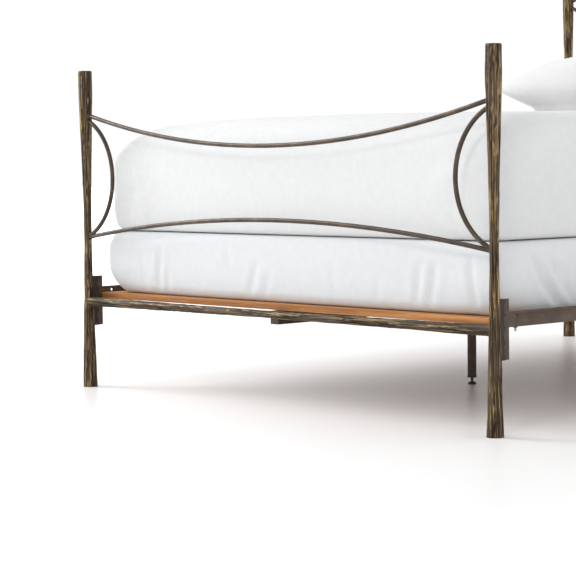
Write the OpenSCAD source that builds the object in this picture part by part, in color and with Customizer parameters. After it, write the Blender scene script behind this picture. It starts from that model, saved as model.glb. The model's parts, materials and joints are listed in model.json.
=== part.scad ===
// Queen-size four-post iron bed with box spring, mattress and pillows.
// The origin is on the floor, at the middle of the bed. The foot end faces -Y.

/* [Overall] */
// Distance between the left and right post axes
post_span_x = 1600; // [1500:10:1700]
// Distance between the foot and head post axes
post_span_y = 2200; // [2180:10:2300]
// Height of the two foot posts
foot_post_h = 930; // [920:10:1100]
// Height of the two head posts
head_post_h = 1350; // [1330:10:1600]

/* [Posts] */
// Radius of a post where it stands on the floor
post_foot_r = 20.3; // [17:0.1:24]
// Radius of a post at its waist
post_waist_r = 10.6; // [10:0.1:13]
// Radius of a post at its top
post_top_r = 19.3; // [16:0.1:23]

/* [Rods] */
// Diameter of the bent rods
rod_d = 12; // [10:1:14]
// Height of the top foot rod at its lowest point
sag_rod_z = 701; // [680:1:720]
// Bend radius of the sagging top foot rod
sag_rod_r = 3184; // [3000:1:3600]
// Height of the lower foot rod at its highest point
arch_rod_z = 504; // [490:1:515]
// Bend radius of the arched rods
arch_rod_r = 5150; // [4800:10:5600]
// Height of the middle of the side bows
bow_z = 616; // [612:1:620]
// Bend radius of the side bows
bow_r = 182; // [178:1:186]
// How far a side bow reaches in from the post's axis
bow_reach = 124; // [118:1:128]
// How much higher the head rods sit than the foot rods
head_lift = 424; // [380:1:440]

/* [Cross bars] */
// Height of the cross bars' axis
bar_z = 253; // [245:1:258]
// Radius of a cross bar at the middle
bar_mid_r = 9.6; // [8:0.1:11]
// Radius of a cross bar at its ends
bar_end_r = 13.4; // [10:0.1:14]

/* [Side rails] */
// Leg length of the angle iron
angle_leg = 38; // [36:1:40]
// Thickness of the angle iron
angle_t = 3.5; // [3:0.5:4]
// Height of the rails' underside
rail_z = 258; // [254:0.5:260]
// Height of the hook plates and brackets
plate_h = 146; // [140:1:160]

/* [Slats and centre support] */
// Number of slats
slat_count = 6; // [6:1:6]
// Width of a slat
slat_w = 130; // [110:1:140]
// Thickness of a slat
slat_t = 17; // [16:0.5:22]
// Width of the centre beam
beam_w = 30; // [30:1:40]
// Height of the centre beam
beam_h = 36; // [30:1:40]
// Distance from a centre leg to the nearer post line
leg_from_posts = 794; // [760:1:820]
// Outside diameter of a centre leg
leg_d = 26; // [25:1:30]

/* [Bedding] */
// Width of the mattress and box spring
bedding_w = 1540; // [1400:1:1550]
// Length of the mattress and box spring
bedding_l = 2050; // [1900:1:2070]
// Height of the box spring
box_spring_h = 181; // [150:1:190]
// Height of the mattress
mattress_h = 318; // [250:1:340]
// Gap from the foot post line to the foot of the bedding
bedding_gap = 44; // [40:1:70]
// Width of a filled pillow
pillow_w = 620; // [560:1:640]
// Depth of a filled pillow, front to back
pillow_d = 460; // [420:1:480]
// Thickness of a filled pillow
pillow_h = 234; // [160:1:250]

/* [Hidden] */

// Clearance between bodies that rest on each other
gap = 0.3;
// Reach of a cutter past the face it cuts
over = 1;

half_x = post_span_x / 2;
half_y = post_span_y / 2;

// Places along a post, as fractions of its height
waist_low = 0.44;
waist_high = 0.52;
collar = 0.91;
// How fast a post narrows below and above its waist
lower_taper = 1.1;
upper_taper = 1.35;
post_rings = 30;

rod_r = rod_d / 2;
// How deep a welded rod runs into its post
weld_depth = 2;
arch_end_drop = arch_rod_r - sqrt(arch_rod_r * arch_rod_r - half_x * half_x);
sag_end_rise = sag_rod_r - sqrt(sag_rod_r * sag_rod_r - half_x * half_x);
// The head top rod arches up from the height where the foot's would start to sag
head_rod_z = sag_rod_z + sag_end_rise + head_lift + arch_end_drop;
bar_taper = 1.5;
bar_rings = 8;

// How far the plates' middle sits below the rail's
plate_drop = 22.5;
plate_z = rail_z + angle_leg / 2 - plate_h / 2 - plate_drop;
bracket_w = 16;
bracket_wall = 3;
// Distance from the post's axis to the bracket's outer face
bracket_reach = 30;
hook_t = 4;
hook_plate_end = 49;
slot_h = 24;
slot_steps = [12, 46, 82, 112];
hook_neck_h = 13;
hook_drop = 8;
hook_tooth_t = 4;

rail_start = 33;
rail_outer_x = half_x - hook_t / 2;
rail_inner_x = rail_outer_x - angle_leg;
rail_hole_r = 3.5;
rail_hole_y = 81;
rail_hole_rise = 26.5;
rail_hole_z = rail_z + rail_hole_rise;

slat_z = rail_z + angle_t;
slat_top = slat_z + slat_t;
// Gap between a slat's end and the rail's upright leg
slat_end_gap = 6;
slat_l = 2 * (rail_outer_x - angle_t - slat_end_gap);
// Distance from the post line to the middle of the nearest slat
slat_from_posts = 104;
first_slat_y = -half_y + slat_from_posts;
slat_pitch = -2 * first_slat_y / (slat_count - 1);
// Distance from the post line to the slat screws
screw_inset = 27;
screw_x = half_x - screw_inset;
screw_r = 3;
screw_hole_r = 3.25;
screw_head_r = 6;
screw_head_h = 3.5;
nut_r = 5.8;
nut_h = 5;
slat_screw_len = 34;
screw_tip_z = slat_top - slat_screw_len;
beam_screw_len = 28;

beam_wall = 2;
beam_end = 20;
cap_t = 3;
beam_top = slat_z;
beam_z = beam_top - beam_h;

leg_wall = 2;
leg_plate_w = 44;
leg_plate_l = 76;
leg_plate_t = 3;
leg_screw_y = 28;
leg_screw_r = 2.5;
leg_low_z = 26;
collar_r = 14;
collar_h = 6;
insert_h = 30;
stud_r = 4;
stud_clearance = 0.05;
stud_top_z = 60;
glide_r = 13;
glide_h = 7;

bed_foot_y = -half_y + bedding_gap;
bed_mid_y = bed_foot_y + bedding_l / 2;
box_spring_z = slat_top + gap;
mattress_z = box_spring_z + box_spring_h + gap;
pillow_z = mattress_z + mattress_h + gap;
pillow_x = 335;
pillow_from_posts = 350;
pillow_y = half_y - pillow_from_posts;
// Corner and edge radii of the box spring and the mattress
box_spring_corner_r = 44;
box_spring_edge_r = 30;
mattress_corner_r = 66;
mattress_edge_r = 60;

module forged() color("darkgoldenrod") children();
module bronze() color("peru") children();
module iron() color("dimgray") children();
module zinc() color("silver") children();
module wood() color("sandybrown") children();
module black_nylon() color("black") children();
module white_cloth() color("whitesmoke") children();

// Puts a child made for the right-hand foot corner at any corner. The child has
// its origin on the post's axis, +Y towards the head and -X towards the middle.
module at_corner(side, end) {
    flip_x = side < 0 ? 1 : 0;
    flip_y = end > 0 ? 1 : 0;
    mirror([flip_x, 0, 0])
        mirror([0, flip_y, 0])
            translate([half_x, -half_y, 0]) children();
}

// Radius of a post at a fraction t of its height: an hourglass under a straight collar
function post_r(t) =
    t < waist_low ? post_waist_r + (post_foot_r - post_waist_r) * pow(1 - t / waist_low, lower_taper)
    : t < waist_high ? post_waist_r
    : t < collar ? post_waist_r
        + (post_top_r - post_waist_r) * pow((t - waist_high) / (collar - waist_high), upper_taper)
    : post_top_r;

module post_solid(height) {
    outline = [for (i = [0 : post_rings]) [post_r(i / post_rings), height * i / post_rings]];
    rotate_extrude($fn = 48) polygon(concat([[0, 0]], outline, [[0, height]]));
}

// Two posts of one end, to cut what is welded to them
module end_posts(end) {
    for (side = [-1, 1])
        at_corner(side, end) post_solid(end < 0 ? foot_post_h : head_post_h);
}

// How far across a rod runs that is welded into the posts at height z
function weld_x(z, end) = half_x - post_r(z / (end < 0 ? foot_post_h : head_post_h)) + weld_depth;

// A rod bent to an arc in the XZ plane: it spans angle degrees about its highest point
module bent_rod(bend_r, angle) {
    facets = ceil(360 / angle * 40);
    rotate([90, 0, 0])
        rotate([0, 0, 90 - angle / 2])
            rotate_extrude(angle = angle, $fn = facets)
                translate([bend_r, 0]) circle(r = rod_r, $fn = 24);
}

// A rod from post to post that is highest at the middle, where its height is peak_z
module arched_rod(end, peak_z) {
    reach = weld_x(peak_z - arch_end_drop, end);
    translate([0, end * half_y, peak_z - arch_rod_r])
        bent_rod(arch_rod_r, 2 * asin(reach / arch_rod_r));
}

// A rod from post to post that is lowest at the middle, where its height is low_z
module sagging_rod(end, low_z) {
    reach = weld_x(low_z + sag_end_rise, end);
    translate([0, end * half_y, low_z + sag_rod_r])
        mirror([0, 0, 1]) bent_rod(sag_rod_r, 2 * asin(reach / sag_rod_r));
}

// A bow beside a post, welded to the post at both ends and to the lower rod
module side_bow(side, end, mid_z) {
    centre_x = half_x - bow_reach + bow_r;
    low_end_z = mid_z - bow_r * sin(acos((centre_x - half_x) / bow_r));
    angle = 2 * acos((centre_x - weld_x(low_end_z, end)) / bow_r);
    translate([side * centre_x, end * half_y, mid_z])
        rotate([0, side * -90, 0]) bent_rod(bow_r, angle);
}

// The space that a bracket takes up beside its post
module bracket_block() {
    translate([-bracket_w / 2, 0, plate_z]) cube([bracket_w, bracket_reach, plate_h]);
}

// A forged bar between two posts, thinner at the middle than at its ends
module cross_bar(end) {
    function bar_r(s) = bar_mid_r + (bar_end_r - bar_mid_r) * pow(abs(s), bar_taper);
    outline = [for (i = [-bar_rings : bar_rings])
        [bar_r(i / bar_rings), half_x * i / bar_rings]];
    difference() {
        translate([0, end * half_y, bar_z])
            rotate([0, 90, 0])
                rotate_extrude($fn = 40) polygon(concat([[0, -half_x]], outline, [[0, half_x]]));
        end_posts(end);
        for (side = [-1, 1])
            at_corner(side, end) bracket_block();
    }
}

// Channel welded to a post, with slots in its face for the rail's hooks
module bracket(end) {
    difference() {
        bracket_block();
        translate([-bracket_w / 2 + bracket_wall, -over, plate_z - over])
            cube([bracket_w - 2 * bracket_wall, bracket_reach - bracket_wall + over, plate_h + 2 * over]);
        for (step = slot_steps)
            translate([-bracket_w / 2 - over, bracket_reach - bracket_wall - 2, plate_z + step])
                cube([bracket_w + 2 * over, bracket_wall + 2 + over, slot_h]);
        post_solid(end < 0 ? foot_post_h : head_post_h);
    }
}

// Flat plate at a rail's end, with hooks that drop through the bracket's slots
module hook_plate() {
    tooth_y = bracket_reach - bracket_wall - gap - hook_tooth_t;
    translate([-hook_t / 2, 0, plate_z]) {
        translate([0, bracket_reach, 0]) cube([hook_t, hook_plate_end - bracket_reach, plate_h]);
        for (step = slot_steps) {
            translate([0, tooth_y, step]) cube([hook_t, bracket_reach - tooth_y, hook_neck_h]);
            translate([0, tooth_y, step - hook_drop]) cube([hook_t, hook_tooth_t, hook_drop]);
        }
    }
}

function slat_y(i) = first_slat_y + i * slat_pitch;

// Angle iron with its upright leg outside and its flat leg turned in under the slats
module side_rail(side) {
    mirror([side < 0 ? 1 : 0, 0, 0])
        difference() {
            union() {
                translate([rail_outer_x - angle_t, -half_y + rail_start, rail_z])
                    cube([angle_t, 2 * (half_y - rail_start), angle_leg]);
                translate([rail_inner_x, -half_y + rail_start, rail_z])
                    cube([angle_leg, 2 * (half_y - rail_start), angle_t]);
            }
            for (end = [-1, 1])
                translate([rail_outer_x - angle_t - over, end * (half_y - rail_hole_y), rail_hole_z])
                    rotate([0, 90, 0]) cylinder(r = rail_hole_r, h = angle_t + 2 * over, $fn = 32);
            for (i = [0 : slat_count - 1])
                translate([screw_x, slat_y(i), rail_z - over])
                    cylinder(r = screw_hole_r, h = angle_t + 2 * over, $fn = 32);
        }
}

// A countersunk screw whose flat head is level with z = 0, with extra radius for its hole
module countersunk(length, extra) {
    translate([0, 0, -length]) cylinder(r = screw_r + extra, h = length, $fn = 32);
    translate([0, 0, -screw_head_h])
        cylinder(r1 = screw_r + extra, r2 = screw_head_r, h = screw_head_h, $fn = 32);
}

module slat(i) {
    hole_extra = screw_hole_r - screw_r;
    difference() {
        translate([-slat_l / 2, slat_y(i) - slat_w / 2, slat_z]) cube([slat_l, slat_w, slat_t]);
        for (x = [-screw_x, 0, screw_x])
            translate([x, slat_y(i), slat_top]) countersunk(slat_t + over, hole_extra);
    }
}

module slat_screws() {
    for (i = [0 : slat_count - 1])
        for (x = [-screw_x, screw_x])
            translate([x, slat_y(i), slat_top]) countersunk(slat_top - screw_tip_z, 0);
}

module slat_nuts() {
    for (i = [0 : slat_count - 1])
        for (x = [-screw_x, screw_x])
            translate([x, slat_y(i), rail_z - nut_h])
                difference() {
                    cylinder(r = nut_r, h = nut_h, $fn = 6);
                    translate([0, 0, -over]) cylinder(r = screw_r, h = nut_h + 2 * over, $fn = 32);
                }
}

module beam_screws() {
    for (i = [0 : slat_count - 1])
        translate([0, slat_y(i), slat_top]) countersunk(beam_screw_len, 0);
}

module centre_beam() {
    beam_l = 2 * (half_y - beam_end);
    difference() {
        translate([-beam_w / 2, -beam_l / 2, beam_z]) cube([beam_w, beam_l, beam_h]);
        translate([-beam_w / 2 + beam_wall, -beam_l / 2 - over, beam_z + beam_wall])
            cube([beam_w - 2 * beam_wall, beam_l + 2 * over, beam_h - 2 * beam_wall]);
        for (i = [0 : slat_count - 1])
            translate([0, slat_y(i), beam_top - beam_wall - over])
                cylinder(r = screw_r, h = beam_wall + 2 * over, $fn = 32);
        for (end = [-1, 1])
            for (dy = [-leg_screw_y, leg_screw_y])
                translate([0, end * (half_y - leg_from_posts) + dy, beam_z - over])
                    cylinder(r = leg_screw_r, h = beam_wall + 2 * over, $fn = 32);
    }
}

// Plug in the open end of the centre beam
module beam_cap(end) {
    plug = 14;
    inner_w = beam_w - 2 * beam_wall;
    inner_h = beam_h - 2 * beam_wall;
    mirror([0, end > 0 ? 1 : 0, 0])
        translate([0, -half_y + beam_end, beam_z]) {
            translate([-beam_w / 2, -cap_t, 0]) cube([beam_w, cap_t, beam_h]);
            translate([-inner_w / 2, 0, beam_wall])
                difference() {
                    cube([inner_w, plug, inner_h]);
                    translate([beam_wall, over, beam_wall])
                        cube([inner_w - 2 * beam_wall, plug, inner_h - 2 * beam_wall]);
                }
        }
}

module at_leg(end) translate([0, end * (half_y - leg_from_posts), 0]) children();

// Round tube leg with a plate that screws up under the beam
module centre_leg(end) {
    at_leg(end)
        difference() {
            union() {
                translate([0, 0, leg_low_z])
                    cylinder(r = leg_d / 2, h = beam_z - leg_plate_t - leg_low_z, $fn = 48);
                translate([-leg_plate_w / 2, -leg_plate_l / 2, beam_z - leg_plate_t])
                    cube([leg_plate_w, leg_plate_l, leg_plate_t]);
            }
            translate([0, 0, leg_low_z - over])
                cylinder(r = leg_d / 2 - leg_wall, h = beam_z - leg_plate_t - leg_low_z + over, $fn = 48);
            for (dy = [-leg_screw_y, leg_screw_y])
                translate([0, dy, beam_z - leg_plate_t - over])
                    cylinder(r = leg_screw_r, h = leg_plate_t + 2 * over, $fn = 32);
        }
}

module leg_screws() {
    head_r = 5;
    head_h = 3;
    reach = 12;
    for (end = [-1, 1])
        at_leg(end)
            for (dy = [-leg_screw_y, leg_screw_y])
                translate([0, dy, beam_z - leg_plate_t]) {
                    translate([0, 0, -head_h]) cylinder(r = head_r, h = head_h, $fn = 32);
                    cylinder(r = leg_screw_r, h = reach, $fn = 32);
                }
}

// Threaded nylon plug in the leg's lower end, with a collar under the tube
module leg_insert(end) {
    at_leg(end)
        translate([0, 0, leg_low_z])
            difference() {
                union() {
                    cylinder(r = leg_d / 2 - leg_wall, h = insert_h, $fn = 48);
                    translate([0, 0, -collar_h]) cylinder(r = collar_r, h = collar_h, $fn = 48);
                }
                translate([0, 0, -collar_h - over])
                    cylinder(r = stud_r + stud_clearance, h = insert_h + collar_h + 2 * over, $fn = 32);
            }
}

// Stud with a round glide that screws in and out of the leg
module levelling_foot(end) {
    edge = 2;
    at_leg(end)
        rotate_extrude($fn = 48)
            polygon([
                [0, 0], [glide_r - edge, 0], [glide_r, edge], [glide_r, glide_h - 2 * edge],
                [glide_r - 2 * edge, glide_h], [stud_r, glide_h], [stud_r, stud_top_z], [0, stud_top_z]
            ]);
}

// Upholstered block with rounded upright corners and softly rounded edges
module soft_block(w, l, h, corner_r, edge_r) {
    hull()
        for (x = [-1, 1], y = [-1, 1])
            translate([x * (w / 2 - corner_r), y * (l / 2 - corner_r), 0])
                rotate_extrude($fn = 32)
                    intersection() {
                        square([corner_r, h]);
                        hull()
                            for (z = [edge_r, h - edge_r], r = [0, corner_r - edge_r])
                                translate([r, z]) circle(r = edge_r, $fn = 24);
                    }
}

module box_spring() {
    translate([0, bed_mid_y, box_spring_z])
        soft_block(bedding_w, bedding_l, box_spring_h, box_spring_corner_r, box_spring_edge_r);
}

module mattress() {
    translate([0, bed_mid_y, mattress_z])
        soft_block(bedding_w, bedding_l, mattress_h, mattress_corner_r, mattress_edge_r);
}

// Filled pillow: a wide seam line at mid height and smaller rounded faces above and below
module pillow(side) {
    seam_r = 40;
    belly_r = 120;
    belly_inset = 46;
    top_inset = 101;
    layer = 2;
    crown = 0.34;
    module layer_at(z, shrink, r) {
        for (x = [-1, 1], y = [-1, 1])
            translate([x * (pillow_w / 2 - shrink - r), y * (pillow_d / 2 - shrink - r), z - layer / 2])
                cylinder(r = r, h = layer, $fn = 32);
    }
    translate([side * pillow_x, pillow_y, pillow_z + pillow_h / 2])
        hull() {
            layer_at(0, 0, seam_r);
            for (up = [-1, 1]) {
                layer_at(up * pillow_h * crown, belly_inset, belly_r);
                layer_at(up * (pillow_h - layer) / 2, top_inset, belly_r);
            }
        }
}

forged() at_corner(-1, -1) post_solid(foot_post_h);  // foot_post_left
forged() at_corner(1, -1) post_solid(foot_post_h);  // foot_post_right
forged() at_corner(-1, 1) post_solid(head_post_h);  // head_post_left
forged() at_corner(1, 1) post_solid(head_post_h);  // head_post_right
bronze() sagging_rod(-1, sag_rod_z);  // foot_top_rod
bronze() arched_rod(-1, arch_rod_z);  // foot_lower_rod
bronze() side_bow(-1, -1, bow_z);  // foot_bow_left
bronze() side_bow(1, -1, bow_z);  // foot_bow_right
bronze() arched_rod(1, head_rod_z);  // head_top_rod
bronze() arched_rod(1, arch_rod_z + head_lift);  // head_lower_rod
bronze() side_bow(-1, 1, bow_z + head_lift);  // head_bow_left
bronze() side_bow(1, 1, bow_z + head_lift);  // head_bow_right
forged() cross_bar(-1);  // foot_cross_bar
forged() cross_bar(1);  // head_cross_bar
for (row = [["foot", -1], ["head", 1]], column = [["left", -1], ["right", 1]]) {
    iron() at_corner(column[1], row[1]) bracket(row[1]);
    iron() at_corner(column[1], row[1]) hook_plate();
}
iron() side_rail(-1);  // side_rail_left
iron() side_rail(1);  // side_rail_right
for (i = [0 : slat_count - 1])
    wood() slat(i);
zinc() slat_screws();
zinc() slat_nuts();
zinc() beam_screws();
iron() centre_beam();
zinc() leg_screws();
for (row = [["foot", -1], ["head", 1]]) {
    black_nylon() beam_cap(row[1]);
    iron() centre_leg(row[1]);
    black_nylon() leg_insert(row[1]);
    black_nylon() levelling_foot(row[1]);
}
white_cloth() box_spring();
white_cloth() mattress();
white_cloth() pillow(-1);  // pillow_left
white_cloth() pillow(1);  // pillow_right
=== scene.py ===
import json
import math

import bmesh
import bpy
import numpy as np
from mathutils import Matrix, Vector, noise


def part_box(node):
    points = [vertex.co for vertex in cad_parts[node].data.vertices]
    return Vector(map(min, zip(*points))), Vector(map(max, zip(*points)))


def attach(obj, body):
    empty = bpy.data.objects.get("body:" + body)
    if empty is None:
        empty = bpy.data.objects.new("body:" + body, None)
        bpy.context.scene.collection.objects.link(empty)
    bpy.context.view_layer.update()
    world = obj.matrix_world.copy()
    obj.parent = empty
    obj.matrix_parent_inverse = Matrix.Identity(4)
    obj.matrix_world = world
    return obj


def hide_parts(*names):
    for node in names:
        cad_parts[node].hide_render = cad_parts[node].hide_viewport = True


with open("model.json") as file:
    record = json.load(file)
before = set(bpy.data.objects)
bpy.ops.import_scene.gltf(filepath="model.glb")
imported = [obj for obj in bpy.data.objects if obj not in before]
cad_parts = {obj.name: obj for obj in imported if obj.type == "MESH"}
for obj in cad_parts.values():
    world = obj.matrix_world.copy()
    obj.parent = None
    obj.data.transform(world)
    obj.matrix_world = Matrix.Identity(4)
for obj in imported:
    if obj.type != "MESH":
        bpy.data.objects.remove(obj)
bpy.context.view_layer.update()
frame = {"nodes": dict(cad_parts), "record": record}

MM = 0.001
ENDS = ("foot", "head")
SIDES = ("left", "right")


# ---------------------------------------------------------------- camera, floor and light

CAMERA_PLACE = (3.966, -4.641, 0.663)
CAMERA_YAW = 47.70
CAMERA_PITCH = 3.66
CAMERA_ROLL = -0.67
CAMERA_LENS = 125.2


def make_camera():
    """A long lens, a little above the rods, looking across the bed from its right foot corner."""
    yaw, pitch, roll = (math.radians(a) for a in (CAMERA_YAW, CAMERA_PITCH, CAMERA_ROLL))
    ahead = Vector((-math.sin(yaw) * math.cos(pitch), math.cos(yaw) * math.cos(pitch), -math.sin(pitch)))
    level_right = Vector((math.cos(yaw), math.sin(yaw), 0))
    level_up = level_right.cross(ahead)
    right = math.cos(roll) * level_right + math.sin(roll) * level_up
    up = right.cross(ahead)
    turn = Matrix((right, up, -ahead)).transposed()
    data = bpy.data.cameras.new("camera")
    data.lens = CAMERA_LENS
    data.sensor_width = 36
    data.clip_end = 200
    camera = bpy.data.objects.new("camera", data)
    camera.matrix_world = Matrix.Translation(CAMERA_PLACE) @ turn.to_4x4()
    bpy.context.scene.collection.objects.link(camera)
    bpy.context.scene.camera = camera


def aimed_light(name, place, target, size, power, color=(1, 1, 1)):
    data = bpy.data.lights.new(name, "AREA")
    data.shape = "DISK"
    data.size = size
    data.energy = power
    data.color = color
    light = bpy.data.objects.new(name, data)
    light.location = place
    light.rotation_euler = (Vector(target) - Vector(place)).to_track_quat("-Z", "Y").to_euler()
    bpy.context.scene.collection.objects.link(light)


SKY_LIGHT = 1.0
SKY_SEEN = 1.02
FLOOR_REACH = 40
FLOOR_FADE = (2.3, 4.5)


def make_studio():
    """A white sky, a large soft light from the bed's left, a small one in front, and a pale floor.

    The floor glows more and more with distance, so that it ends in the sky without an edge.
    """
    world = bpy.data.worlds.new("studio")
    world.use_nodes = True
    tree = world.node_tree
    seen = tree.nodes.new("ShaderNodeLightPath").outputs["Is Camera Ray"]
    level = tree.nodes.new("ShaderNodeMapRange")
    level.inputs["To Min"].default_value = SKY_LIGHT
    level.inputs["To Max"].default_value = SKY_SEEN
    tree.links.new(seen, level.inputs["Value"])
    tree.links.new(level.outputs["Result"], tree.nodes["Background"].inputs["Strength"])
    tree.nodes["Background"].inputs["Color"].default_value = (1, 1, 1, 1)
    bpy.context.scene.world = world
    bpy.context.scene.view_settings.view_transform = "Standard"
    aimed_light("key", (-4.2, -2.8, 3.0), (0, -0.3, 0.3), 2.6, 160)
    aimed_light("front", (2.6, -5.2, 2.8), (0, -0.8, 0.5), 0.9, 38)
    r = FLOOR_REACH
    mesh = bpy.data.meshes.new("floor")
    mesh.from_pydata([(-r, -r, 0), (r, -r, 0), (r, r, 0), (-r, r, 0)], [], [(0, 1, 2, 3)])
    floor = bpy.data.objects.new("floor", mesh)
    bpy.context.scene.collection.objects.link(floor)
    n = Nodes("floor_paint")
    away = n.add("ShaderNodeVectorMath", {0: n.place()}, operation="LENGTH").outputs["Value"]
    n.set(Base_Color=(0.93, 0.93, 0.93, 1), Roughness=0.35)
    n.feed("Specular IOR Level", 0.35)
    n.feed("Emission Color", (1, 1, 1, 1))
    near, far = FLOOR_FADE
    glow = n.add("ShaderNodeMapRange", {"Value": away, "From Min": near, "From Max": far})
    n.feed("Emission Strength", glow.outputs["Result"])
    mesh.materials.append(n.material)


# ---------------------------------------------------------------- material helpers


class Nodes:
    """Short names for building one material's node tree."""

    def __init__(self, name):
        self.material = bpy.data.materials.new(name)
        self.material.use_nodes = True
        self.tree = self.material.node_tree
        self.shader = self.tree.nodes["Principled BSDF"]

    def add(self, kind, inputs=None, **settings):
        node = self.tree.nodes.new(kind)
        for key, value in settings.items():
            setattr(node, key, value)
        for key, value in (inputs or {}).items():
            if isinstance(value, bpy.types.NodeSocket):
                self.tree.links.new(value, node.inputs[key])
            else:
                node.inputs[key].default_value = value
        return node

    def set(self, **values):
        for key, value in values.items():
            self.feed(key.replace("_", " "), value)

    def feed(self, socket, value):
        if isinstance(value, bpy.types.NodeSocket):
            self.tree.links.new(value, self.shader.inputs[socket])
        else:
            self.shader.inputs[socket].default_value = value

    def place(self, scale=(1, 1, 1), turn=(0, 0, 0)):
        """Object coordinates in metres, stretched."""
        where = self.add("ShaderNodeTexCoord").outputs["Object"]
        return self.add("ShaderNodeMapping", {"Vector": where, "Scale": scale, "Rotation": turn}).outputs[0]

    def noise(self, where, scale, detail=3, rough=0.5, twist=0.0):
        made = self.add("ShaderNodeTexNoise", {"Vector": where, "Scale": scale, "Detail": detail,
                                               "Roughness": rough, "Distortion": twist})
        return made.outputs["Fac"]

    def ramp(self, value, *stops, ease="LINEAR"):
        """stops are (position, colour) pairs; a number stands for a grey."""
        node = self.add("ShaderNodeValToRGB", {"Fac": value})
        node.color_ramp.interpolation = ease
        elements = node.color_ramp.elements
        while len(elements) < len(stops):
            elements.new(0.5)
        for element, (at, colour) in zip(elements, stops):
            element.position = at
            grey = not hasattr(colour, "__len__")
            element.color = (colour, colour, colour, 1) if grey else (*colour, 1)
        return node.outputs["Color"]

    def mix(self, share, a, b, blend="MIX"):
        node = self.add("ShaderNodeMix", data_type="RGBA", blend_type=blend)
        for key, value in ((0, share), (6, a), (7, b)):
            if isinstance(value, bpy.types.NodeSocket):
                self.tree.links.new(value, node.inputs[key])
            else:
                node.inputs[key].default_value = value if key == 0 else (*value, 1)
        return node.outputs[2]

    def math(self, operation, a, b=0.0):
        return self.add("ShaderNodeMath", {0: a, 1: b}, operation=operation).outputs[0]

    def attribute(self, name):
        return self.add("ShaderNodeAttribute", attribute_name=name).outputs["Fac"]

    def bump(self, height, strength, depth):
        made = self.add("ShaderNodeBump", {"Height": height, "Strength": strength, "Distance": depth})
        self.feed("Normal", made.outputs["Normal"])


def forged_bronze(name, along, rubbed, rosy_share):
    """Dark bronze in the grooves, brown flanks and rubbed brass on the ridges. along is the grain's axis."""
    n = Nodes(name)

    def grain(across, lengthwise):
        return n.place([lengthwise if axis == along else across for axis in "xyz"])

    relief = n.attribute("relief")
    strands = n.noise(grain(430, 24), 1, 4, 0.6, 0.3)
    patches = n.noise(grain(46, 9), 1, 4, 0.6)
    worn = n.math("ADD", relief, n.math("MULTIPLY", n.math("SUBTRACT", strands, 0.5), 0.7))
    worn = n.math("ADD", worn, n.math("MULTIPLY", n.math("SUBTRACT", patches, 0.5), 0.6))
    worn = n.math("ADD", worn, rubbed)
    colour = n.ramp(
        worn,
        (0.10, (0.008, 0.0045, 0.002)),
        (0.34, (0.034, 0.020, 0.010)),
        (0.56, (0.078, 0.050, 0.026)),
        (0.80, (0.170, 0.116, 0.044)),
        (1.00, (0.36, 0.25, 0.105)),
    )
    rosy = n.noise(grain(55, 7), 1, 3, 0.5)
    colour = n.mix(n.ramp(rosy, (0.44, 0.0), (0.64, rosy_share)), colour, (0.075, 0.052, 0.040))
    n.set(Base_Color=colour, Metallic=0.45)
    n.feed("Specular IOR Level", 0.3)
    n.set(Roughness=n.ramp(worn, (0.2, 0.62), (0.9, 0.38)))
    n.bump(strands, 0.6, 0.0008)
    return n.material


def rod_bronze():
    """Smooth hand-rubbed bronze of the bent rods."""
    n = Nodes("rod_bronze")
    cloudy = n.noise(n.place(), 22, 5, 0.62)
    fine = n.noise(n.place(), 420, 2, 0.5)
    colour = n.ramp(
        cloudy,
        (0.30, (0.026, 0.0165, 0.010)),
        (0.52, (0.050, 0.031, 0.018)),
        (0.72, (0.092, 0.060, 0.031)),
    )
    n.set(Base_Color=colour, Metallic=0.4, Roughness=n.ramp(cloudy, (0.3, 0.42), (0.75, 0.30)))
    n.bump(n.math("ADD", fine, cloudy), 0.2, 0.0004)
    return n.material


def rail_coat(name, level):
    """Matt brown baked coating with faint orange peel and scuffs. A lower level makes it darker."""
    n = Nodes(name)
    clouds = n.noise(n.place(), 14, 5, 0.62)
    scuffs = n.noise(n.place((40, 4, 40)), 5, 4, 0.6)
    tones = ((0.3, (0.065, 0.042, 0.030)), (0.62, (0.110, 0.074, 0.052)), (0.8, (0.15, 0.108, 0.078)))
    colour = n.ramp(clouds, *((at, [level * c for c in tone]) for at, tone in tones))
    colour = n.mix(n.ramp(scuffs, (0.6, 0.0), (0.78, 0.35)), colour, [level * c for c in (0.2, 0.155, 0.12)])
    n.set(Base_Color=colour, Metallic=0.25, Roughness=n.ramp(clouds, (0.3, 0.62), (0.7, 0.48)))
    n.bump(n.noise(n.place(), 700, 2, 0.5), 0.25, 0.0003)
    return n.material


def slat_wood():
    """Oiled softwood with long grain across the bed, growth bands and a few knots."""
    n = Nodes("slat_wood")
    grain = n.noise(n.place((1.6, 26, 30)), 7, 6, 0.62, 1.1)
    bands = n.add("ShaderNodeTexWave", {"Vector": n.place((0.35, 9, 9)), "Scale": 3.2, "Distortion": 7.0,
                                        "Detail": 3.0, "Detail Scale": 1.2}, bands_direction="Y").outputs["Fac"]
    figure = n.math("ADD", n.math("MULTIPLY", grain, 0.65), n.math("MULTIPLY", bands, 0.35))
    colour = n.ramp(
        figure,
        (0.26, (0.25, 0.090, 0.022)),
        (0.50, (0.45, 0.18, 0.046)),
        (0.74, (0.60, 0.29, 0.09)),
    )
    knots = n.add("ShaderNodeTexVoronoi", {"Vector": n.place((3.2, 8, 8)), "Scale": 1.0}).outputs["Distance"]
    colour = n.mix(n.ramp(knots, (0.04, 0.8), (0.12, 0.0)), colour, (0.12, 0.045, 0.018))
    n.set(Base_Color=colour, Roughness=n.ramp(grain, (0.3, 0.5), (0.7, 0.66)))
    n.bump(grain, 0.35, 0.0008)
    return n.material


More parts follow.
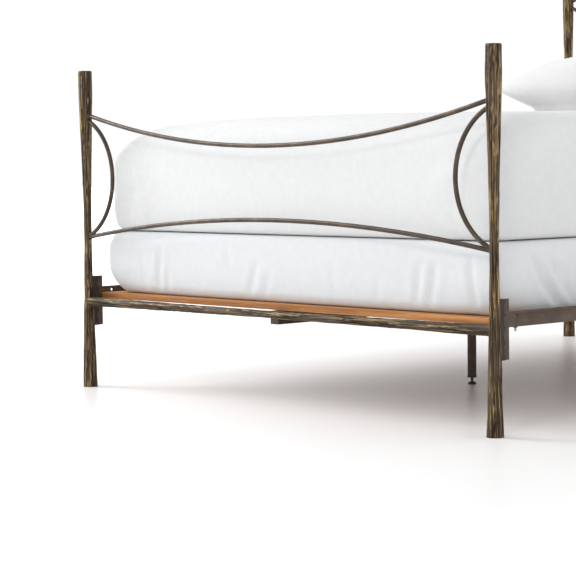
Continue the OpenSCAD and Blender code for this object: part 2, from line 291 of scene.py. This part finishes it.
def zinc():
    """Zinc plating with a faint spangle."""
    n = Nodes("zinc")
    spangle = n.noise(n.place(), 260, 3, 0.6)
    n.set(Base_Color=n.ramp(spangle, (0.3, (0.28, 0.28, 0.27)), (0.7, (0.5, 0.5, 0.48))), Metallic=0.95)
    n.set(Roughness=n.ramp(spangle, (0.3, 0.42), (0.7, 0.28)))
    return n.material


def black_nylon():
    """Matt black moulded nylon with a fine grain."""
    n = Nodes("black_nylon")
    grain = n.noise(n.place(), 900, 2, 0.5)
    n.set(Base_Color=n.ramp(grain, (0.3, (0.012, 0.012, 0.013)), (0.7, (0.028, 0.028, 0.03))))
    n.set(Roughness=n.ramp(grain, (0.3, 0.55), (0.7, 0.42)))
    n.bump(grain, 0.2, 0.0002)
    return n.material


SLUB_SHADE = 0.048


def white_cloth(name, tint, threads):
    """Cotton with a fine plain weave and slight slubs."""
    n = Nodes(name)
    where = n.place()
    thread = {"Vector": where, "Scale": threads, "Distortion": 0.6, "Detail": 1.0}
    x, y, z = (n.add("ShaderNodeTexWave", thread, bands_direction=way).outputs["Fac"] for way in "XYZ")
    weave = n.math("ADD", n.math("ADD", x, y), z)
    slubs = n.noise(where, 55, 4, 0.6)
    low = tuple(c * (1 - SLUB_SHADE) for c in tint)
    n.set(Base_Color=n.ramp(slubs, (0.3, low), (0.7, tint)), Roughness=0.9)
    n.feed("Sheen Weight", 0.25)
    n.feed("Sheen Roughness", 0.5)
    n.feed("Specular IOR Level", 0.2)
    n.bump(n.math("ADD", weave, n.math("MULTIPLY", slubs, 2.0)), 0.12, 0.0006)
    return n.material


# ---------------------------------------------------------------- mesh helpers


def detail(full, quick):
    return full


def link_mesh(name, mesh, material):
    """A smooth-shaded object of its own from a finished mesh."""
    mesh.polygons.foreach_set("use_smooth", [True] * len(mesh.polygons))
    mesh.materials.append(material)
    made = bpy.data.objects.new(name, mesh)
    bpy.context.scene.collection.objects.link(made)
    return made


def add_object(name, vertices, faces, material):
    mesh = bpy.data.meshes.new(name)
    mesh.from_pydata([tuple(v) for v in vertices], [], faces)
    mesh.update()
    return link_mesh(name, mesh, material)


def set_attribute(made, name, values):
    layer = made.data.attributes.new(name, "FLOAT", "POINT")
    layer.data.foreach_set("value", np.asarray(values, np.float32))


def grid_faces(rows, around):
    """Quads of a tube's skin with its rows one after another."""
    r, a = np.meshgrid(np.arange(rows - 1), np.arange(around), indexing="ij")
    b = (a + 1) % around
    quads = np.stack([r * around + a, r * around + b, (r + 1) * around + b, (r + 1) * around + a], -1)
    return quads.reshape(-1, 4).tolist()


def fix_normals(made):
    mesh = bmesh.new()
    mesh.from_mesh(made.data)
    bmesh.ops.recalc_face_normals(mesh, faces=mesh.faces)
    mesh.to_mesh(made.data)
    mesh.free()


def soften_cad(node, material, width=0.6 * MM):
    """Welds a CAD node's faces and rounds its edges, and gives it its material."""
    made = frame["nodes"][node]
    made.data.materials.clear()
    made.data.materials.append(material)
    weld = made.modifiers.new("weld", "WELD")
    weld.merge_threshold = 0.00002
    bevel = made.modifiers.new("bevel", "BEVEL")
    bevel.width = width
    bevel.segments = 2
    bevel.limit_method = "ANGLE"
    bevel.angle_limit = math.radians(40)
    bevel.harden_normals = False


# ---------------------------------------------------------------- forged posts and bars

FIBRE = 5.4 * MM          # spacing of the bark's fibres across the grain
FIBRE_STRETCH = 34        # how many times longer than that they run
FIBRE_DEPTH = 1.7 * MM    # from the bottom of a groove to the top of a crest
FIBRE_LEVEL = 0.5         # relief that lies at the bar's own radius
SKIN = 0.4 * MM           # how far that radius is outside the CAD's
SWAY = 1.5 * MM           # how far the fibres wander sideways
SWAY_LENGTH = 21 * MM
SWAY_WIDTH = 14 * MM
CREST_SHARPNESS = 4.2
GROOVE_SHARPNESS = 4.6
BARE_RELIEF = 0.46
CAP_RELIEF = 0.55         # the cut ends are neither groove nor crest

BAR_MIDDLE_RADIUS = 9.6 * MM
BAR_TIP_RADIUS = 13.4 * MM
POST_RIM = 1.6 * MM       # rounding of a post's two cut ends


def fibre_relief(x, y, along, seed):
    """0 in a groove to 1 on a crest: long wavy fibres that part and meet, as on a stripped branch."""
    near = Vector((x / SWAY_WIDTH, y / SWAY_WIDTH, along / SWAY_LENGTH)) + Vector((seed, seed * 0.7, 0))
    side = noise.noise(near) * SWAY
    p = Vector(((x + side) / FIBRE, (y - side) / FIBRE, along / (FIBRE * FIBRE_STRETCH)))
    p += Vector((seed, seed * 0.37, seed * 0.61))
    crest = max(0.0, 1 - abs(noise.noise(p)) * CREST_SHARPNESS)
    groove = max(0.0, 1 - abs(noise.noise(p + Vector((31.7, 11.3, 5.9)))) * GROOVE_SHARPNESS)
    swell = noise.noise(p * 0.5 + near * 0.3)
    return min(1.0, max(0.0, BARE_RELIEF + 0.54 * crest - 0.46 * groove + 0.14 * swell))


def forged_skin(name, radii, stations, to_world, material, seed, around):
    """A bar with a bark surface. radii and stations describe it along its own axis."""
    turn = np.linspace(0, 2 * math.pi, around, endpoint=False)
    cos, sin = np.cos(turn), np.sin(turn)
    vertices, relief = [], []
    reference = max(radii)
    for radius, station in zip(radii, stations):
        lump = noise.noise(Vector((0.0, seed * 3.7, station * 14))) * 0.035
        lean = noise.noise(Vector((seed * 5.1, 0.0, station * 9))) * 0.5 * MM
        depth = FIBRE_DEPTH * (0.55 + 0.45 * radius / reference)
        for c, s in zip(cos, sin):
            out = noise.noise(Vector((c * 0.8, s * 0.8, station * 20 + seed))) * 0.03
            r = radius * (1 + lump + out)
            high = fibre_relief(c * radius, s * radius, station, seed)
            r += (high - FIBRE_LEVEL) * depth + SKIN
            vertices.append(to_world(r * c + lean, r * s, station))
            relief.append(high)
    faces = grid_faces(len(stations), around)
    for row, flip in ((0, True), (len(stations) - 1, False)):
        centre = len(vertices)
        vertices.append(to_world(0, 0, stations[row]))
        relief.append(CAP_RELIEF)
        for i in range(around):
            a, b = row * around + i, row * around + (i + 1) % around
            faces.append([a, centre, b] if not flip else [b, centre, a])
    made = add_object(name, vertices, faces, material)
    set_attribute(made, "relief", relief)
    fix_normals(made)
    return made


def turned_radii(node, count):
    """Radius of an upright turned CAD node at evenly spaced heights, the heights and the node's middle."""
    low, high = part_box(node)
    co = np.array([v.co for v in frame["nodes"][node].data.vertices])
    centre = (np.array(low) + np.array(high)) / 2
    away = np.hypot(co[:, 0] - centre[0], co[:, 1] - centre[1])
    rings = {}
    for at, r in zip(np.round(co[:, 2], 4), away):
        rings[at] = max(rings.get(at, 0), r)
    keys = sorted(rings)
    stations = np.linspace(low.z, high.z, count)
    return np.interp(stations, keys, [rings[k] for k in keys]), stations, centre


def finish_forged(made, node):
    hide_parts(node)
    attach(made, "frame")


def make_posts(material):
    step, around = detail((3.2 * MM, 124), (6.0 * MM, 64))
    for i, (end, side) in enumerate((e, s) for e in ENDS for s in SIDES):
        node = f"{end}_post_{side}"
        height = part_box(node)[1].z
        radii, stations, centre = turned_radii(node, int(height / step))
        radii = radii - POST_RIM * np.clip(1 - (height - stations) / POST_RIM, 0, 1)
        made = forged_skin(
            f"{node}_forged", radii, stations,
            lambda x, y, s, c=centre: (c[0] + x, c[1] + y, s),
            material, 11.0 * (i + 1), around)
        finish_forged(made, node)


def make_bars(material):
    step, around = detail((3.2 * MM, 84), (8.0 * MM, 40))
    for i, end in enumerate(ENDS):
        node = f"{end}_cross_bar"
        low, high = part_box(node)
        centre = (np.array(low) + np.array(high)) / 2
        stations = np.linspace(low.x, high.x, int((high.x - low.x) / step))
        share = np.abs(stations) / high.x
        radii = BAR_MIDDLE_RADIUS + (BAR_TIP_RADIUS - BAR_MIDDLE_RADIUS) * share ** 1.5
        made = forged_skin(
            f"{node}_forged", radii, stations,
            lambda x, y, s, c=centre: (s, c[1] + x, c[2] + y),
            material, 71.0 + 13 * i, around)
        finish_forged(made, node)


# ---------------------------------------------------------------- soft goods

PROUD = 7 * MM           # how far a cover may stand outside its CAD box
CORNER_REACH = 0.07      # how far a corner's squaring spreads
CORNER_TUCK = 0.034      # how far the box spring's lower corners are pulled in
PILLOW_FLAT = 0.22       # share of a pillow's height that settles flat on the mattress


def rounded_ring(half_x, half_y, corner, arc_steps=9):
    """Points round a rectangle with rounded corners."""
    points = []
    for turn, (sx, sy) in enumerate(((1, 1), (-1, 1), (-1, -1), (1, -1))):
        for i in range(arc_steps + 1):
            a = math.pi / 2 * (turn + i / arc_steps)
            points.append((sx * (half_x - corner) + corner * math.cos(a),
                           sy * (half_y - corner) + corner * math.sin(a)))
    return points


def soft_shell(name, half_x, half_y, corner, profile, centre, material):
    """A closed block of rounded rectangles. profile holds (inset, z) pairs from the bottom up."""
    vertices = []
    for inset, z in profile:
        ring = rounded_ring(half_x - inset, half_y - inset, corner + 0.7 * inset)
        vertices += [(centre[0] + x, centre[1] + y, z) for x, y in ring]
    around = len(vertices) // len(profile)
    faces = grid_faces(len(profile), around)
    last = (len(profile) - 1) * around
    faces.append(list(range(around))[::-1])
    faces.append([last + i for i in range(around)])
    made = add_object(name, vertices, faces, material)
    fix_normals(made)
    return made


def apply_modifiers(made):
    graph = bpy.context.evaluated_depsgraph_get()
    mesh = bpy.data.meshes.new_from_object(made.evaluated_get(graph))
    old = made.data
    made.modifiers.clear()
    made.data = mesh
    bpy.data.meshes.remove(old)
    mesh.polygons.foreach_set("use_smooth", [True] * len(mesh.polygons))


def vertex_vectors(made, key):
    out = np.empty(len(made.data.vertices) * 3, np.float32)
    made.data.vertices.foreach_get(key, out)
    return out.reshape(-1, 3).astype(float)


def coordinates(made):
    return vertex_vectors(made, "co")


def set_coordinates(made, co):
    made.data.vertices.foreach_set("co", np.asarray(co, np.float32).ravel())
    made.data.update()


def remesh(made, size):
    cut = made.modifiers.new("remesh", "REMESH")
    cut.mode = "VOXEL"
    cut.voxel_size = size
    apply_modifiers(made)


def puff(made, pressure, cap, stiffness, frames=14):
    """Blows the closed cover up a little with Cloth and keeps every point within cap of where it began."""
    start = coordinates(made)
    cloth = made.modifiers.new("cloth", "CLOTH")
    settings = cloth.settings
    settings.quality = 4
    settings.mass = 0.3
    settings.air_damping = 2
    settings.tension_stiffness = stiffness
    settings.compression_stiffness = stiffness
    settings.shear_stiffness = stiffness / 2
    settings.bending_stiffness = 0.6
    settings.use_pressure = True
    settings.uniform_pressure_force = pressure
    settings.effector_weights.gravity = 0
    cloth.collision_settings.use_collision = False
    cloth.point_cache.frame_start = 1
    cloth.point_cache.frame_end = frames
    scene = bpy.context.scene
    for frame_number in range(1, frames + 1):
        scene.frame_set(frame_number)
    apply_modifiers(made)
    scene.frame_set(1)
    moved = coordinates(made) - start
    far = np.linalg.norm(moved, axis=1)
    moved *= (cap * np.tanh(far / cap) / np.maximum(far, 1e-9))[:, None]
    set_coordinates(made, start + moved)


def subdivide(made):
    finer = made.modifiers.new("finer", "SUBSURF")
    finer.levels = finer.render_levels = 1
    apply_modifiers(made)


def smoothstep(low, high, x):
    t = np.clip((np.asarray(x) - low) / (high - low), 0, 1)
    return t * t * (3 - 2 * t)


def crease(co, push, path, width, depth, shoulder=0.22):
    """A fold along a path: a groove with a raised shoulder on both sides, fading at its two ends."""
    path = np.asarray(path, float)
    near = np.full(len(co), np.inf)
    share = np.zeros(len(co))
    total = len(path) - 1
    for i, (a, b) in enumerate(zip(path[:-1], path[1:])):
        along = b - a
        t = np.clip(((co - a) @ along) / (along @ along), 0, 1)
        gap = np.linalg.norm(co - (a + t[:, None] * along), axis=1)
        closer = gap < near
        near = np.where(closer, gap, near)
        share = np.where(closer, (i + t) / total, share)
    fade = np.clip(np.sin(math.pi * np.clip(share, 0, 1)), 0, 1) ** 0.6
    u = near / width
    shape = -np.exp(-u * u * 3) + shoulder * np.exp(-((u - 1.35) ** 2) * 3)
    push += depth * fade * shape


def noise_push(co, scale, strength, seed=0.0):
    return np.array([noise.noise(Vector(p * scale) + Vector((seed, 0, 0))) for p in co]) * strength


def soft_box(node, cloth, half, corner, profile, voxel, pressure, cap):
    """A sewn block inside its CAD solid: puffed by Cloth, then flat again where it rests."""
    low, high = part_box(node)
    centre = (low + high) / 2
    levels = [(inset, low.z + (high.z - low.z) * share) for inset, share in profile]
    made = soft_shell(f"{node}_cover", half[0], half[1], corner, levels, centre, cloth)
    remesh(made, voxel)
    puff(made, pressure, cap, stiffness=12)
    subdivide(made)
    co = coordinates(made)
    co[:, 2] = np.clip(co[:, 2], low.z + 0.2 * MM, high.z + 6 * MM)
    set_coordinates(made, co)
    return made, low, high


BOX_SPRING_PROFILE = (
    (0.080, 0.0), (0.016, 0.0), (0.008, 0.02), (0.005, 0.08), (0.003, 0.20), (0.001, 0.40), (0.0, 0.60),
    (0.001, 0.80), (0.005, 0.89), (0.012, 0.955), (0.024, 0.99), (0.045, 1.0), (0.110, 1.0),
)
MATTRESS_PROFILE = (
    (0.140, 0.0), (0.036, 0.0), (0.020, 0.008), (0.009, 0.03), (0.003, 0.08), (0.0, 0.18), (0.0, 0.42),
    (0.001, 0.66), (0.004, 0.78), (0.011, 0.86), (0.025, 0.93), (0.047, 0.97), (0.084, 0.992), (0.160, 1.0),
    (0.280, 1.0),
)


def push_corners(co, low, high, push, reach, share=1.0):
    """Moves the upright corners out by push, or in where it is negative, less and less over reach."""
    centre = (np.array(low) + np.array(high)) / 2
    half = np.array(high - low) / 2
    from_corner = np.clip(half[:2] - np.abs(co[:, :2] - centre[:2]), 0, None).sum(1)
    co[:, :2] += np.sign(co[:, :2] - centre[:2]) * (push * np.exp(-from_corner / reach) * share)[:, None]


def keep_in_box(co, low, high):
    for axis in (0, 1):
        co[:, axis] = np.clip(co[:, axis], low[axis] - PROUD, high[axis] + PROUD)


def settle(co, level, reach, share, way):
    """Presses a soft rim towards the level it rests at, so that the gap between two soft blocks closes."""
    off = np.clip((co[:, 2] - level) * way, 0, None)
    near = off < reach
    eased = off * (share + (1 - share) * smoothstep(0, reach, off))
    co[:, 2] = np.where(near & ((co[:, 2] - level) * way >= 0), level + way * eased, co[:, 2])


def make_box_spring(cloth):
    made, low, high = soft_box("box_spring", cloth, (0.768, 1.023), 0.018, BOX_SPRING_PROFILE,
                               detail(0.015, 0.02), 3.0, 8 * MM)
    co, out = coordinates(made), vertex_vectors(made, "normal")
    push_corners(co, low, high, 0.013, CORNER_REACH)
    settle(co, high.z, 0.030, 0.35, -1)
    push = np.zeros(len(co))
    foot, side = co[:, 1].min() + 1 * MM, co[:, 0].max() - 1 * MM
    # Folds where the cover is pulled down and tucked under, on the foot face and on both sides
    for x, top, bottom, lean, depth in (
        (-0.529, 0.425, 0.288, -0.010, 5.0), (-0.500, 0.365, 0.288, 0.004, 3.5),
        (-0.610, 0.400, 0.290, 0.006, 2.0), (-0.244, 0.435, 0.372, 0.026, 2.0),
        (-0.108, 0.392, 0.292, -0.040, 3.0), (-0.055, 0.370, 0.292, -0.030, 1.8),
        (0.180, 0.400, 0.292, 0.015, 1.6), (0.502, 0.412, 0.292, -0.014, 3.2),
        (0.558, 0.412, 0.292, -0.026, 3.2), (0.676, 0.430, 0.296, 0.016, 3.0),
        (0.360, 0.370, 0.292, -0.018, 1.6),
    ):
        crease(co, push, [(x, foot, top), (x + 0.45 * lean, foot, (top + bottom) / 2),
                          (x + lean, foot + 0.004, bottom)], 20 * MM, 2.2 * depth * MM)
        crease(co, push, [(-x, high.y, top), (-x, high.y - 0.012, bottom)], 16 * MM, 1.5 * depth * MM)
    for flip in (1, -1):
        for y, top, bottom, lean, depth in (
            (-0.912, 0.430, 0.290, 0.100, 7.0), (-0.836, 0.415, 0.292, 0.092, 6.0),
            (-0.800, 0.400, 0.292, 0.110, 3.5), (-0.550, 0.390, 0.292, 0.050, 3.0),
            (-0.120, 0.380, 0.292, 0.040, 2.6), (0.310, 0.390, 0.292, -0.050, 3.2),
            (0.660, 0.410, 0.292, -0.090, 4.5), (0.860, 0.420, 0.292, -0.100, 6.0),
        ):
            crease(co, push, [(flip * side, y, top), (flip * side, y + 0.42 * lean, (top + bottom) / 2),
                              (flip * (side - 0.010), y + lean, bottom)], 22 * MM, 2.3 * depth * MM)
    push += noise_push(co, 5.5, 1.2 * MM, 3.0)
    resting = np.minimum(smoothstep(low.z, low.z + 0.02, co[:, 2]),
                         1 - smoothstep(high.z - 0.006, high.z, co[:, 2]))
    co += out * (push * resting)[:, None]
    # The cover is gathered and tucked under at each corner
    share = (co[:, 2] - low.z) / (high.z - low.z)
    push_corners(co, low, high, -CORNER_TUCK, 0.09, np.clip(1 - share / 0.42, 0, 1) ** 2)
    keep_in_box(co, low, high)
    co[:, 2] = np.clip(co[:, 2], low.z + 0.2 * MM, high.z - 0.2 * MM)
    set_coordinates(made, co)
    finish_soft(made, "box_spring")


def make_mattress(cloth):
    made, low, high = soft_box("mattress", cloth, (0.763, 1.018), 0.028, MATTRESS_PROFILE,
                               detail(0.016, 0.025), 3.5, 10 * MM)
    co, out = coordinates(made), vertex_vectors(made, "normal")
    push_corners(co, low, high, 0.008, CORNER_REACH)
    settle(co, low.z, 0.050, 0.35, 1)
    push = np.zeros(len(co))
    foot, side = co[:, 1].min() + 1 * MM, co[:, 0].max() - 1 * MM
    for x, top, bottom, lean, depth in (
        (-0.66, 0.73, 0.60, 0.012, 1.6), (-0.40, 0.745, 0.66, 0.02, 1.2), (-0.05, 0.75, 0.69, -0.02, 1.0),
        (0.42, 0.75, 0.66, 0.025, 1.6), (0.62, 0.745, 0.60, 0.02, 2.2), (0.25, 0.54, 0.475, 0.02, 1.2),
        (-0.62, 0.55, 0.475, -0.012, 1.8), (0.60, 0.55, 0.475, 0.03, 2.2),
    ):
        crease(co, push, [(x, foot, top), (x + lean, foot, bottom)], 18 * MM, depth * MM)
        crease(co, push, [(-x, high.y, top), (-x - lean, high.y, bottom)], 18 * MM, depth * MM)
    for flip in (1, -1):
        crease(co, push, [(flip * (side - 0.006), -0.93, 0.722), (flip * side, -0.80, 0.728),
                          (flip * side, -0.62, 0.735)], 20 * MM, 1.8 * MM)
        for y, top, bottom, lean, depth in (
            (-0.70, 0.72, 0.62, 0.04, 1.6), (-0.2, 0.72, 0.63, -0.03, 1.4), (0.4, 0.72, 0.62, 0.03, 1.6),
            (-0.86, 0.55, 0.475, 0.04, 2.0), (0.8, 0.55, 0.475, -0.04, 2.0),
        ):
            crease(co, push, [(flip * side, y, top), (flip * side, y + lean, bottom)], 18 * MM, depth * MM)
    push += noise_push(co, 3.2, 2.2 * MM, 9.0) + noise_push(co, 9.0, 0.8 * MM, 4.0)
    share = (co[:, 2] - low.z) / (high.z - low.z)
    resting = smoothstep(0.004, 0.05, share)
    co += out * (push * resting)[:, None]
    # The top sinks towards the corners, most at the left foot corner, and crowns a little in the middle
    rise = smoothstep(0.45, 1.0, share)
    foot_way = np.exp(-np.clip(co[:, 1] - low.y, 0, 9) / 0.30)
    head_way = np.exp(-np.clip(high.y - co[:, 1], 0, 9) / 0.20)
    left_way = np.exp(-np.clip(co[:, 0] - low.x, 0, 9) / 0.165)
    right_way = np.exp(-np.clip(high.x - co[:, 0], 0, 9) / 0.12)
    sink = 0.052 * left_way * foot_way + 0.020 * right_way * foot_way
    sink += 0.030 * (left_way + right_way) * head_way
    sink += 0.012 * foot_way
    crown = 0.006 * np.cos(co[:, 0] / side * math.pi / 2).clip(0)
    co[:, 2] += rise * (crown - sink)
    keep_in_box(co, low, high)
    co[:, 2] = np.maximum(co[:, 2], low.z + 0.2 * MM)
    set_coordinates(made, co)
    finish_soft(made, "mattress")


def pillow_bag(name, centre, width, depth, cell, cloth):
    """Two sheets sewn round the edge, a little apart in the middle, with points pulled in at the corners."""
    nx, ny = int(width / cell), int(depth / cell)
    u, v = np.meshgrid(np.linspace(-1, 1, nx + 1), np.linspace(-1, 1, ny + 1), indexing="ij")
    x = u * width / 2 * (1 - 0.03 * np.abs(v) ** 6)
    y = v * depth / 2 * (1 - 0.03 * np.abs(u) ** 6)
    belly = 0.045 * ((1 - u ** 4) * (1 - v ** 4)) ** 0.5
    upper = np.stack([x, y, belly], -1).reshape(-1, 3)
    lower = np.stack([x, y, -belly], -1).reshape(-1, 3)
    index = np.arange((nx + 1) * (ny + 1)).reshape(nx + 1, ny + 1)
    edge = np.zeros_like(index, bool)
    edge[0], edge[-1], edge[:, 0], edge[:, -1] = True, True, True, True
    below = index + index.size
    below[edge] = index[edge]
    faces = []
    for grid, flip in ((index, False), (below, True)):
        quads = np.stack([grid[:-1, :-1], grid[1:, :-1], grid[1:, 1:], grid[:-1, 1:]], -1).reshape(-1, 4)
        faces += (quads[:, ::-1] if flip else quads).tolist()
    points = np.concatenate([upper, lower]) + np.array(centre)
    made = add_object(name, points, faces, cloth)
    loose = bmesh.new()
    loose.from_mesh(made.data)
    bmesh.ops.delete(loose, geom=[p for p in loose.verts if not p.link_faces], context="VERTS")
    loose.to_mesh(made.data)
    loose.free()
    return made


def make_pillow(node, cloth, seed):
    low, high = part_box(node)
    centre = (low + high) / 2
    made = pillow_bag(f"{node}_cover", centre, 0.66, 0.50, detail(0.010, 0.03), cloth)
    co = coordinates(made)
    ripple = noise_push(co, 9.0, 4 * MM, seed)
    co[:, 2] += ripple * np.sign(co[:, 2] - centre.z)
    set_coordinates(made, co)
    puff(made, 9.0, 0.16, stiffness=6, frames=24)
    co = coordinates(made)
    span = co.max(0) - co.min(0)
    mid = (co.max(0) + co.min(0)) / 2
    co = (co - mid) / span * np.array(high - low) + np.array(centre)
    # The underside lies flat on the mattress and the filling settles to it
    share = (co[:, 2] - low.z) / (high.z - low.z)
    settled = np.where(share < PILLOW_FLAT, PILLOW_FLAT * smoothstep(0, 0.30, share), share)
    co[:, 2] = low.z + 0.5 * MM + (high.z - low.z) * settled
    set_coordinates(made, co)
    subdivide(made)
    finish_soft(made, node)


def finish_soft(made, node):
    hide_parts(node)
    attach(made, node)


# ---------------------------------------------------------------- weld beads

BEAD_RADIUS = 8.6 * MM
BEAD_DEPTH = 5.0 * MM
TIP_DEPTH = 2.5 * MM     # the outermost part of a rod, which holds only its end faces


def rod_ends(node):
    """The middles of a rod's or bow's two end faces, which lie inside the posts."""
    co = coordinates(frame["nodes"][node])
    far = np.abs(co[:, 0]).max() - TIP_DEPTH
    tips = co[np.abs(co[:, 0]) > far]
    apart = 2 if "bow" in node else 0
    middle = tips[:, apart].mean()
    return [tips[tips[:, apart] < middle].mean(0), tips[tips[:, apart] >= middle].mean(0)]


def make_welds(material):
    """A lumpy bead round each rod where it meets its post."""
    for end in ENDS:
        beads = bmesh.new()
        for node in (f"{end}_top_rod", f"{end}_lower_rod", f"{end}_bow_left", f"{end}_bow_right"):
            for tip in rod_ends(node):
                inward = -math.copysign(1, tip[0])
                place = Vector(tip) + Vector((inward * 1.5 * MM, 0, 0))
                made = bmesh.ops.create_icosphere(beads, subdivisions=4, radius=1.0)
                for vertex in made["verts"]:
                    p = vertex.co.copy()
                    coarse, fine = noise.noise(p * 2.6 + place * 90), noise.noise(p * 7 + place * 40)
                    lump = 1 + 0.16 * coarse + 0.06 * fine
                    bead = Vector((p.x * BEAD_DEPTH, p.y * BEAD_RADIUS, p.z * BEAD_RADIUS))
                    vertex.co = place + bead * lump
        mesh = bpy.data.meshes.new(f"{end}_weld_beads")
        beads.to_mesh(mesh)
        beads.free()
        made = link_mesh(f"{end}_weld_beads", mesh, material)
        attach(made, "frame")


# ---------------------------------------------------------------- build

make_camera()
make_studio()

upright_bark = forged_bronze("forged_upright", "z", 0.0, 0.45)
level_bark = forged_bronze("forged_level", "x", -0.04, 0.85)
rod_metal = rod_bronze()
rail_metal = rail_coat("rail_coat", 0.85)
dark_metal = rail_coat("bracket_coat", 0.30)
black_bolt = rail_coat("bolt_coat", 0.16)
wood = slat_wood()
plated = zinc()
nylon = black_nylon()
spring_cloth = white_cloth("box_spring_cloth", (0.635, 0.65, 0.665), 900)
mattress_cloth = white_cloth("mattress_cloth", (0.63, 0.635, 0.64), 900)
pillow_cloth = white_cloth("pillow_cloth", (0.66, 0.66, 0.66), 1200)

SLOT_FINISH = {
    "rod_bronze": rod_metal, "rail_iron": rail_metal, "slat_wood": wood, "zinc": plated, "black_nylon": nylon,
}
NODE_FINISH = {"centre_beam": dark_metal, "slat_nuts": black_bolt, "beam_cap_foot": rail_metal}
NODE_FINISH.update({f"{end}_bracket_{side}": dark_metal for end in ENDS for side in SIDES})
NODE_SLOT = {s["node"]: s["material_slot"] for s in frame["record"]["subparts"]}

make_posts(upright_bark)
make_bars(level_bark)
make_welds(rod_metal)
make_box_spring(spring_cloth)
make_mattress(mattress_cloth)
for i, side in enumerate(SIDES):
    make_pillow(f"pillow_{side}", pillow_cloth, 5.0 + i)

for name, node in frame["nodes"].items():
    if not node.hide_render:
        soften_cad(name, NODE_FINISH.get(name) or SLOT_FINISH[NODE_SLOT[name]])
